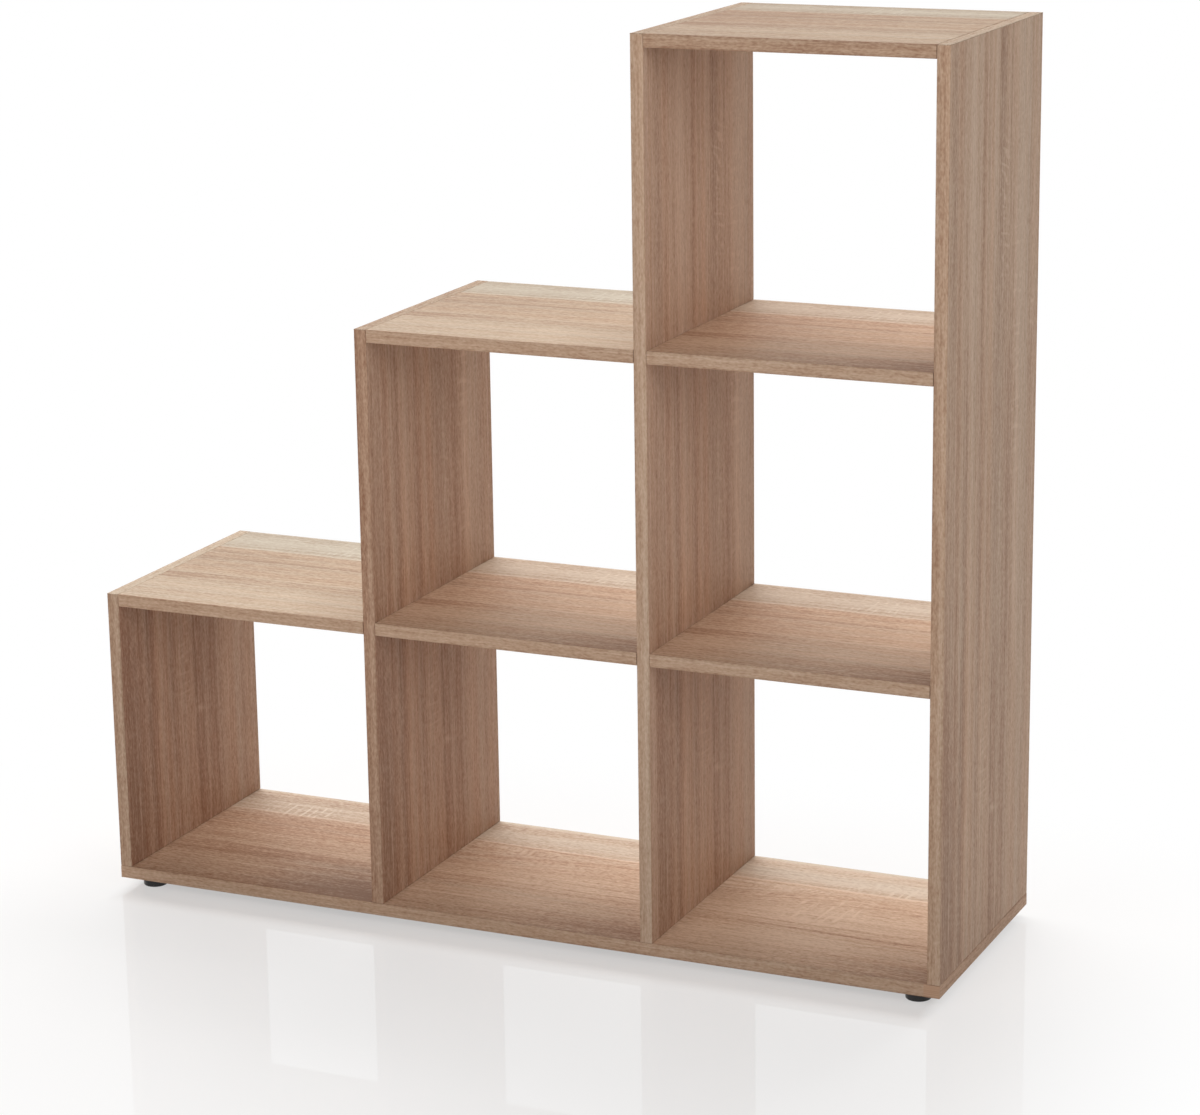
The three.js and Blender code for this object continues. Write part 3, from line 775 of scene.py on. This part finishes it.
# Feet: round glides moulded in glossy black plastic, with a rounded rim at the floor and a barbed
# spigot pressed up into the base board; the spigot is drawn plain, without its barbs, chamfered at
# its top.
FOOT_ROUND = 1.6 * MM
FOOT_LIP = 0.4 * MM
FOOT_GAP = 0.02 * MM  # between the foot and the base board
HOLLOW_DEPTH = 0.6 * MM  # of the underside, inside a sloping ring from 0.72 to 0.78 of the radius
HOLLOW_EDGE, RING_EDGE = 0.72, 0.78
SPIGOT = 3.6 * MM
SPIGOT_CHAMFER = 0.5 * MM
FOOT_SIDES = 64
FEET = ("foot_front_left", "foot_front_right", "foot_back_left", "foot_back_right")
foot_plastic = plain_surface("foot_plastic", (14, 14, 15), 0.3, 0.0, 0.15, 0.6, 0.01)
for name in FEET:
    low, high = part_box(name)
    radius, seat = (high.x - low.x) / 2, base_low.z - FOOT_GAP
    turn = np.linspace(-np.pi / 2, 0, 7)
    rim = np.stack([radius + FOOT_ROUND * (np.cos(turn) - 1), FOOT_ROUND * (1 + np.sin(turn))], 1)
    profile = [
        (0, HOLLOW_DEPTH), (radius * HOLLOW_EDGE, HOLLOW_DEPTH), (radius * RING_EDGE, 0),
        *rim.tolist(),
        (radius, base_low.z - FOOT_LIP), (radius - FOOT_LIP, seat), (SPIGOT, seat),
        (SPIGOT, high.z - SPIGOT_CHAMFER), (SPIGOT - SPIGOT_CHAMFER, high.z), (0, high.z),
    ]
    centre = ((low.x + high.x) / 2, (low.y + high.y) / 2, 0)
    glide = turned(profile, FOOT_SIDES, centre)
    show(f"{name}_glide", glide, foot_plastic, [name], smooth=ROUND_ANGLE)

# Cam fittings: a zinc die-cast cam in each bore under a board, and the steel bolts that they pull
# on, screwed into the uprights or passing through them.
cast_zinc = plain_surface("cast_zinc", (176, 178, 180), 0.42, 1.0, 0.06, 0.8, 0.03)
for name, cad_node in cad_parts.items():
    if "_cam_" in name or "_bolt_" in name:
        cad_node.data.materials.clear()
        cad_node.data.materials.append(cast_zinc if "_cam_" in name else bright_steel)

# Floor and backdrop: a pale glossy floor under a white sky. It runs out to the backdrop's white
# within FADE_FRONT metres in front of the shelf and within FADE_SIDE beside and behind it. Nearer
# in, less white is mixed in, so the floor greys in front of the shelf: partly the lamps' real
# shadow and reflection, partly painted shadow. It is darkest in a narrow strip along the foot of
# the front, a painted contact shadow.
FLOOR = 8.0
WHITE_NEAR = 0.63  # share of the backdrop's white in the floor under the shelf
FADE_FRONT = 1.5
FADE_SIDE = 0.4
STRIP_START, STRIP_END, STRIP_SHADE = 0.02, 0.055, 0.77
FLOOR_ROUGHNESS = 0.01, 0.02
FLOOR_IOR = 1.8


def sees_backdrop(tree):
    """1 for rays from the camera, a mirror or glass, so that all of them meet a white backdrop."""
    path = node(tree, "ShaderNodeLightPath").outputs
    seen = calc(tree, "MAXIMUM", path["Is Camera Ray"], path["Is Glossy Ray"])
    return calc(tree, "MAXIMUM", seen, path["Is Transmission Ray"])


floor_material = bpy.data.materials.new("pale_floor")
floor_material.use_nodes = True
tree = floor_material.node_tree
tree.nodes.clear()
at = node(tree, "ShaderNodeTexCoord").outputs["Object"]
place = node(tree, "ShaderNodeSeparateXYZ", {0: at}).outputs
beside = calc(tree, "SUBTRACT", calc(tree, "ABSOLUTE", place["X"]), base_high.x)
before = calc(tree, "SUBTRACT", base_low.y, place["Y"])
behind = calc(tree, "SUBTRACT", place["Y"], base_high.y)
side = calc(tree, "MAXIMUM", calc(tree, "DIVIDE", beside, FADE_SIDE), 0.0)
front = calc(tree, "DIVIDE", before, FADE_FRONT)
depth = calc(tree, "MAXIMUM", front, calc(tree, "DIVIDE", behind, FADE_SIDE))
away = node(tree, "ShaderNodeCombineXYZ", {"X": side, "Y": calc(tree, "MAXIMUM", depth, 0.0)})
away = node(tree, "ShaderNodeVectorMath", {0: away.outputs[0]}, operation="LENGTH").outputs["Value"]
# Painted contact shadow: the white share is cut under the shelf and in a narrow strip in front of
# it.
strip = rise(tree, before, STRIP_START, STRIP_END, STRIP_SHADE, 1.0)
strip = calc(tree, "MAXIMUM", strip, rise(tree, beside, -STRIP_END, 0.0))
strip = calc(tree, "MAXIMUM", strip, rise(tree, behind, -STRIP_END, 0.0))
faded = calc(tree, "MULTIPLY", rise(tree, away, 0.0, 1.0, WHITE_NEAR, 1.0), strip)
mottle = {"Vector": at, "Scale": 3.0, "Detail": 3.0}
mottle = node(tree, "ShaderNodeTexNoise", mottle).outputs["Fac"]
gloss = {
    "Base Color": display(238, 234, 230),
    "Roughness": rise(tree, mottle, 0.3, 0.7, *FLOOR_ROUGHNESS),
    "IOR": FLOOR_IOR,
}
lit = node(tree, "ShaderNodeBsdfPrincipled", gloss).outputs[0]
white = node(tree, "ShaderNodeEmission", {"Color": (1, 1, 1, 1), "Strength": 1.0}).outputs[0]
share = calc(tree, "MULTIPLY", faded, sees_backdrop(tree))
mixed = node(tree, "ShaderNodeMixShader", {0: share, 1: lit, 2: white}).outputs[0]
node(tree, "ShaderNodeOutputMaterial", {"Surface": mixed})
floor_mesh = bpy.data.meshes.new("floor")
corners = [(-FLOOR, -FLOOR, 0), (FLOOR, -FLOOR, 0), (FLOOR, FLOOR, 0), (-FLOOR, FLOOR, 0)]
floor_mesh.from_pydata(corners, [], [(0, 1, 2, 3)])
floor_mesh.materials.append(floor_material)
floor = bpy.data.objects.new("floor", floor_mesh)
bpy.context.scene.collection.objects.link(floor)

world = bpy.data.worlds.new("studio")
bpy.context.scene.world = world
world.use_nodes = True
tree = world.node_tree
tree.nodes.clear()
SKY = 0.01  # brightness of the sky for every other ray
strength = rise(tree, sees_backdrop(tree), 0, 1, SKY, 1.0)
sky = node(tree, "ShaderNodeBackground", {"Color": (1, 1, 1, 1), "Strength": strength}).outputs[0]
node(tree, "ShaderNodeOutputWorld", {"Surface": sky})

# Lamps: large soft boxes round the shelf, out of sight of the camera. The strongest stand at the
# back on the left, so that the compartments are brightest at the back and dimmest at the front.
LAMP_SIZE = 2.2
LAMP_AIM = Vector((0, 0, 0.5))
PLAIN, COOL, WARM = (1, 1, 1), (0.98, 1, 1.02), (1.04, 0.98, 0.96)
LAMPS = (
    ("front", (0.0, -3.18, 2.19), 43, WARM),
    ("right", (2.75, -1.59, 2.19), 32, PLAIN),
    ("back_right", (1.59, 2.75, 2.1), 10.5, COOL),
    ("back_high", (0.3, 2.5, 4.2), 108, COOL),
    ("back_left", (-2.0, 3.5, 3.4), 100, COOL),
    ("left", (-2.75, 1.59, 1.95), 78, COOL),
)
for name, place, power, colour in LAMPS:
    lamp = bpy.data.lights.new(name, "AREA")
    lamp.shape = "SQUARE"
    lamp.size = LAMP_SIZE
    lamp.energy = power
    lamp.color = colour
    box = bpy.data.objects.new(name, lamp)
    box.location = place
    box.rotation_euler = (LAMP_AIM - Vector(place)).to_track_quat("-Z", "Y").to_euler()
    box.visible_camera = False
    box.visible_glossy = False
    bpy.context.scene.collection.objects.link(box)

# Camera, where the photographer stood, with a long lens and no shift.
camera_data = bpy.data.cameras.new("camera")
camera_data.sensor_width = 36
camera_data.lens = 105.83
camera = bpy.data.objects.new("camera", camera_data)
camera.location = (1.6792, -3.6267, 1.4936)
camera.rotation_euler = (1.3097, 0.0137, 0.4186)
bpy.context.scene.collection.objects.link(camera)
bpy.context.scene.camera = camera
bpy.context.scene.view_settings.view_transform = "Standard"
